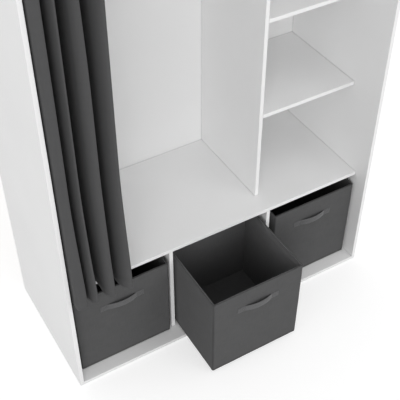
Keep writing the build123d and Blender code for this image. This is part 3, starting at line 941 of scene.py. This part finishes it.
def makeStrap(side, values):
    low, high = vectorBox(f"basket_handle_{side}")
    wide, tall, thick = high.x - low.x, high.z - low.z, values["thickness"]
    face, bulge = high.y, high.y - low.y - thick
    free = wide / 2 - strapLook["sewnEnd"]
    middleX, middleZ = (low.x + high.x) / 2, (low.z + high.z) / 2
    foot, rim = (corner[2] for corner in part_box(f"basket_cover_{side}"))

    def leanOut(z):
        return basketFlare[side] * (z - foot) / (rim - foot)

    bm = bmesh.new()
    bmesh.ops.create_grid(bm, x_segments=values["columns"], y_segments=values["rows"], size=0.5)
    layer = bm.loops.layers.uv.new("cloth")
    spots = {}
    for vert in bm.verts:
        up = vert.co.y
        x, z = vert.co.x * wide, middleZ + up * tall
        spots[vert] = (x, up * tall)
        loose = max(0.0, 1 - (x / free) ** 2) if abs(x) < free else 0.0
        rise = smoothStep(loose * values["early"])
        out = bulge * loose + thick / 2
        out += rise * (-values["lean"] * up * 2 + values["cup"] * (1 - 4 * up * up))
        vert.co = (middleX + x, face - out - leanOut(z), z - values["droop"] * loose)
    layFlat(bm, layer, spots)
    faceOutward(bm)
    piece = newPiece(f"strap_handle_{side}", bm, strapCloth, f"basket_{side}", smoothAngle=50)
    addWall(piece, thick, 0)
    soft = piece.modifiers.new("soft", "BEVEL")
    soft.width, soft.segments, soft.limit_method = values["edgeRound"], 2, "ANGLE"
    bakeModifiers(piece)
    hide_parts(f"basket_handle_{side}")

    # each end is sewn round its edge and along both diagonals
    bm = bmesh.new()
    surface = face - thick - values["threadRadius"] * values["threadSunk"]
    inset = values["stitchInset"]
    bottom, top = low.z + inset, high.z - inset
    lowFace, highFace = surface - leanOut(bottom), surface - leanOut(top)
    for end in (-1, 1):
        near, far = middleX + end * (free + inset), middleX + end * (wide / 2 - inset)
        corners = [(near, lowFace, bottom), (far, lowFace, bottom), (far, highFace, top), (near, highFace, top)]
        for a, b in [*zip(corners, corners[1:] + corners[:1]), (corners[0], corners[2]), (corners[1], corners[3])]:
            sewRow(bm, a, b, (0, -1, 0), values)
    newPiece(f"strap_stitches_{side}", bm, sewingThread, f"basket_{side}", smoothAngle=60)


rimSeam = {
    "stitch": 0.0032, "stitchPitch": 0.0045, "threadRadius": 0.0004, "drop": 0.009, "clear": 0.012, "proud": 0.0002,
}


def makeRimSeam(side, values):
    low, high = vectorBox(f"basket_cover_{side}")
    clear, proud = values["clear"], values["proud"]
    z = high.z - values["drop"]
    left, right, ahead, behind = low.x - proud, high.x + proud, low.y - proud, high.y + proud
    startX, endX, startY, endY = low.x + clear, high.x - clear, low.y + clear, high.y - clear
    bm = bmesh.new()
    sewRow(bm, (left, startY, z), (left, endY, z), (-1, 0, 0), values)
    sewRow(bm, (right, startY, z), (right, endY, z), (1, 0, 0), values)
    sewRow(bm, (startX, ahead, z), (endX, ahead, z), (0, -1, 0), values)
    sewRow(bm, (startX, behind, z), (endX, behind, z), (0, 1, 0), values)
    flareAll(bm, side)
    newPiece(f"rim_stitches_{side}", bm, sewingThread, f"basket_{side}", smoothAngle=60)


for side in baskets:
    makeCover(side, cover)
    makeCards(side, cards)
    makeStrap(side, strap)
    makeRimSeam(side, rimSeam)
    print("basket sewn:", side)


# Fasteners that show: a cross is the length, width and depth of its recess

def cutCross(bm, place, direction, cross):
    # the cross-shaped bar that a boolean later takes away
    length, width, depth = cross
    far, near = length / 2, width / 2
    corners = []
    for right, up in ((1, 1), (-1, 1), (-1, -1), (1, -1)):
        corner = [(right * far, up * near), (right * near, up * near), (right * near, up * far)]
        corners += corner if right * up > 0 else corner[::-1]
    old = set(bm.verts)
    base = bm.faces.new([bm.verts.new((x, y, -depth)) for x, y in corners])
    raised = bmesh.ops.extrude_face_region(bm, geom=[base])["geom"]
    bmesh.ops.translate(bm, vec=(0, 0, 2 * depth), verts=[v for v in raised if isinstance(v, bmesh.types.BMVert)])
    bmesh.ops.transform(bm, matrix=standing(place, direction), verts=addedSince(bm, old))


def carve(piece, crosses):
    faceOutward(crosses)
    cutter = newObject("cutter", crosses)
    cut = piece.modifiers.new("carve", "BOOLEAN")
    cut.operation, cut.object = "DIFFERENCE", cutter
    bakeModifiers(piece)
    bpy.data.objects.remove(cutter)


def fastenerPiece(name, bm, material, node, crosses=None):
    faceOutward(bm)
    piece = newPiece(name, bm, material, "carcass", smoothAngle=35)
    if crosses is not None:
        carve(piece, crosses)
    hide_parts(node)


camDisc = {"radius": 0.006, "round": 0.0004, "segments": 40, "cross": (0.0072, 0.0013, 0.0022)}


def makeCams(values):
    bm, crosses = bmesh.new(), bmesh.new()
    r, e = values["radius"], values["round"]
    for low, high in solidBoxes("cam_discs"):
        middle, deep = (low + high) / 2, high.z - low.z
        outward = 1 if middle.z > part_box("top_panel")[0][2] else -1
        profile = [(-deep, 0), (-deep, r - e), (-deep + e, r), (-e, r), (0, r - e), (0, 0)]
        place = Vector((middle.x, middle.y, high.z if outward > 0 else low.z))
        turnPiece(bm, profile, place, (0, 0, outward), values["segments"])
        cutCross(crosses, place, (0, 0, outward), values["cross"])
    fastenerPiece("cam_discs_slotted", bm, metal["castZinc"], "cam_discs", crosses)


screw = {
    "headRadius": 0.003, "headHeight": 0.0015, "shankRadius": 0.0016, "tipLength": 0.0015, "segments": 28,
    "dome": ((0.6, 1), (0.22, 0.78), (0.05, 0.45)),      # shares of the head's height and radius
    "cross": (0.0031, 0.0007, 0.0009),
}


def makeScrews(node, values):
    bm, crosses = bmesh.new(), bmesh.new()
    bayMiddle = (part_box("side_panel_left")[1][0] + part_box("upper_partition")[0][0]) / 2
    r, h, s = values["headRadius"], values["headHeight"], values["shankRadius"]
    for low, high in solidBoxes(node):
        size, middle = high - low, (low + high) / 2
        axis = max(range(3), key=lambda i: size[i])
        outward = Vector((0, 0, 0))
        outward[axis] = 1 if axis < 2 and middle[axis] < bayMiddle else -1
        tip = middle + outward * size[axis] / 2
        profile = [(-size[axis], 0), (-size[axis] + values["tipLength"], s), (-h, s), (-h, r)]
        profile += [(-h * back, r * out) for back, out in values["dome"]] + [(0, 0)]
        turnPiece(bm, profile, tip, outward, values["segments"])
        cutCross(crosses, tip, outward, values["cross"])
    fastenerPiece(f"{node}_crosshead", bm, metal["zincPlate"], node, crosses)


pin = {"stepRadius": 0.003, "stepLength": 0.007, "radius": 0.0025, "round": 0.0006, "segments": 28}


def makePins(values):
    bm = bmesh.new()
    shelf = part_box("shelf_1")
    r, e, step, long = values["radius"], values["round"], values["stepRadius"], values["stepLength"]
    for low, high in solidBoxes("shelf_pins"):
        middle, length = (low + high) / 2, high.x - low.x
        inward = 1 if high.x < (shelf[0][0] + shelf[1][0]) / 2 else -1
        profile = [(-length, 0), (-length, r - e), (-length + e, r), (-long, r)]
        profile += [(-long, step), (-e, step), (0, step - e), (0, 0)]
        place = Vector((high.x if inward > 0 else low.x, middle.y, middle.z))
        turnPiece(bm, profile, place, (inward, 0, 0), values["segments"])
    fastenerPiece("shelf_pins_turned", bm, metal["zincPlate"], "shelf_pins")


makeCams(camDisc)
makeScrews("rail_screws", screw)
makeScrews("track_screws", screw)
makePins(pin)
print("fasteners made")


# Floor, light and camera

floorValues = {
    "half": 14.0, "drop": 0.0002, "color": (0.55, 0.55, 0.55), "cloud": 1.5, "tones": (0.995, 1.0), "lift": 0.56,
    "shader": {"Roughness": 0.9, "Specular IOR Level": 0.1},
}


def makeFloor(values):
    bm = bmesh.new()
    bmesh.ops.create_grid(bm, x_segments=1, y_segments=1, size=values["half"])
    bmesh.ops.translate(bm, vec=(0, 0, -values["drop"]), verts=bm.verts)
    floor = newObject("floor", bm)
    material, tree, shader = startMaterial("floorPaint", values["shader"])
    tone = spread(tree, speckle(tree, objectPlace(tree), values["cloud"]), *values["tones"])
    paint(tree, shader, values["color"], tone)
    strength = calc(tree, "MULTIPLY", seenDirectly(tree), values["lift"])
    glow = put(tree, "ShaderNodeEmission", Strength=strength)
    both = put(tree, "ShaderNodeAddShader", i0=shader.outputs[0], i1=glow.outputs[0])
    tree.links.new(both.outputs[0], tree.nodes["Material Output"].inputs["Surface"])
    floor.data.materials.append(material)


light = {
    "world": 0.782,
    "lamps": (      # name, place, what it aims at, size and watts
        ("leftLow", (-5.2, -8.0, 2.2), (0.0, 0.0, 0.8), 4.5, 145),
        ("leftHigh", (-4.5, -7.0, 5.5), (0.0, 0.0, 0.8), 4.5, 135),
        ("rightSoft", (4.5, -7.0, 5.2), (0.0, 0.0, 0.8), 4.5, 84),
    ),
}


def makeLight(values):
    world = bpy.data.worlds.new("studio")
    bpy.context.scene.world = world
    world.use_nodes = True
    tree = world.node_tree
    strength = put(tree, "ShaderNodeMix", i0=seenDirectly(tree), i2=values["world"], i3=1.0)
    background = tree.nodes["Background"].inputs
    tree.links.new(strength.outputs[0], background["Strength"])
    background["Color"].default_value = (1, 1, 1, 1)
    for name, place, aim, size, power in values["lamps"]:
        lamp = bpy.data.lights.new(name, "AREA")
        lamp.shape, lamp.size, lamp.energy = "DISK", size, power
        holder = newHolder(name, lamp)
        holder.location = place
        holder.rotation_euler = (Vector(aim) - Vector(place)).to_track_quat("-Z", "Y").to_euler()


camera = {
    "place": (-0.9506, -1.6604, 2.1332), "azimuth": 30.57, "down": 43.15,
    "focalPixels": 835.05, "frame": 400, "sensor": 36.0, "clipEnd": 60,
}


def makeCamera(values):
    lens = bpy.data.cameras.new("camera")
    lens.sensor_width = values["sensor"]
    lens.lens = values["focalPixels"] / values["frame"] * values["sensor"]
    lens.clip_end = values["clipEnd"]
    holder = newHolder("camera", lens)
    holder.location = values["place"]
    holder.rotation_euler = (math.radians(90 - values["down"]), 0, -math.radians(values["azimuth"]))
    bpy.context.scene.camera = holder


makeFloor(floorValues)
makeLight(light)
makeCamera(camera)
bpy.context.scene.view_settings.view_transform = "Standard"
print("studio ready")
